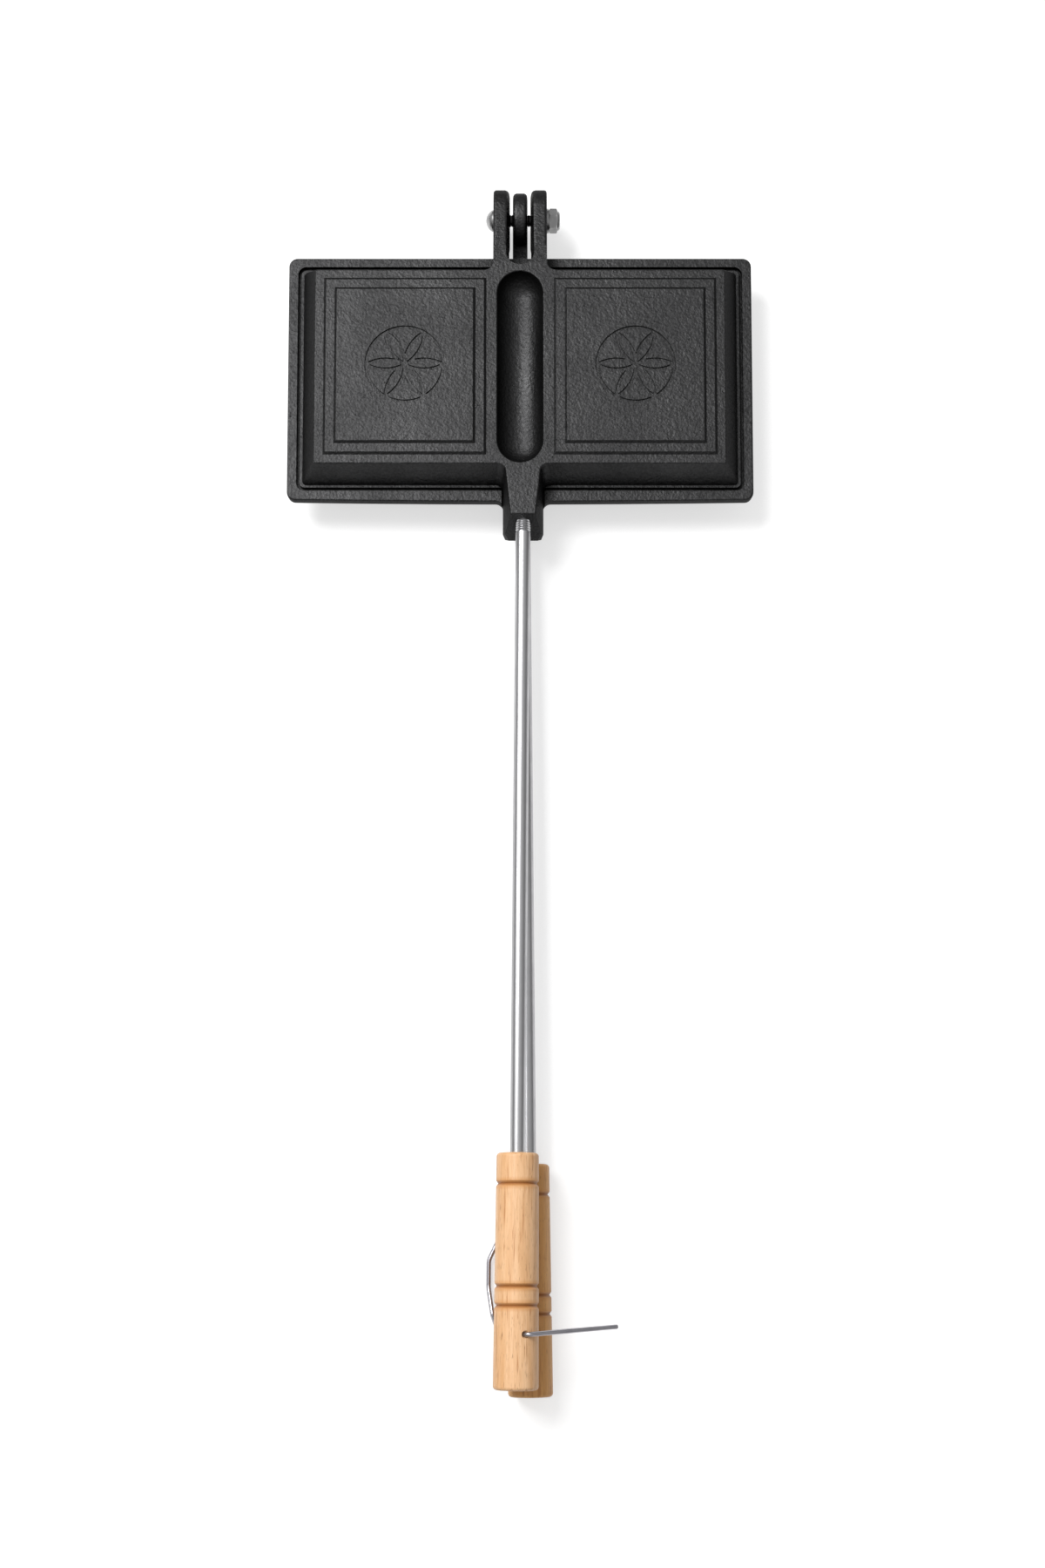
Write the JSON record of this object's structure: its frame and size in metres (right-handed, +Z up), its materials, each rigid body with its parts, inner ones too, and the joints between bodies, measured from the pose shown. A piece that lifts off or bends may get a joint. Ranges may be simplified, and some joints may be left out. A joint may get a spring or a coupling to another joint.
{
  "type": "pie iron",
  "caption": "Hinged cast-iron double sandwich toaster for a campfire, on long steel rods with turned wooden grips and a swinging wire latch.",
  "frame": {"origin": "under the middle of the closed iron in plan, at the height of its lowest point, the underside of the lower grip", "axes": "+X to the right across the two panels, +Y from the grips to the hinge, +Z up, from the lower half to the upper half"},
  "size_m": [0.251, 0.6508, 0.0486],
  "materials": {
    "cast_iron": "seasoned, fine sand-cast grain",
    "rod_steel": "bright plated rod, faint drawing lines",
    "grip_wood": "turned, sanded, burnt grooves",
    "bolt_steel": "dull zinc-plated",
    "wire_steel": "drawn wire, satin"
  },
  "bodies": {
    "lower": {"lower_plate": "cast_iron", "lower_rod": "rod_steel", "lower_grip": "grip_wood"},
    "upper": {"upper_plate": "cast_iron", "upper_rod": "rod_steel", "upper_grip": "grip_wood", "hinge_bolt": "bolt_steel", "hinge_washer": "bolt_steel", "hinge_nut": "bolt_steel"},
    "latch": {"latch_wire": "wire_steel"}
  },
  "joints": [
    {"name": "jaw_hinge", "type": "hinge", "parent": "lower", "child": "upper", "pos_m": [0, 0.30967, 0.02394], "axis": [-1, 0, 0], "range_deg": [0, 180]},
    {"name": "latch_swing", "type": "hinge", "parent": "upper", "child": "latch", "pos_m": [-0.00198, -0.29199, 0.03614], "axis": [-0.4147, 0.0035, -0.91], "continuous": true}
  ]
}
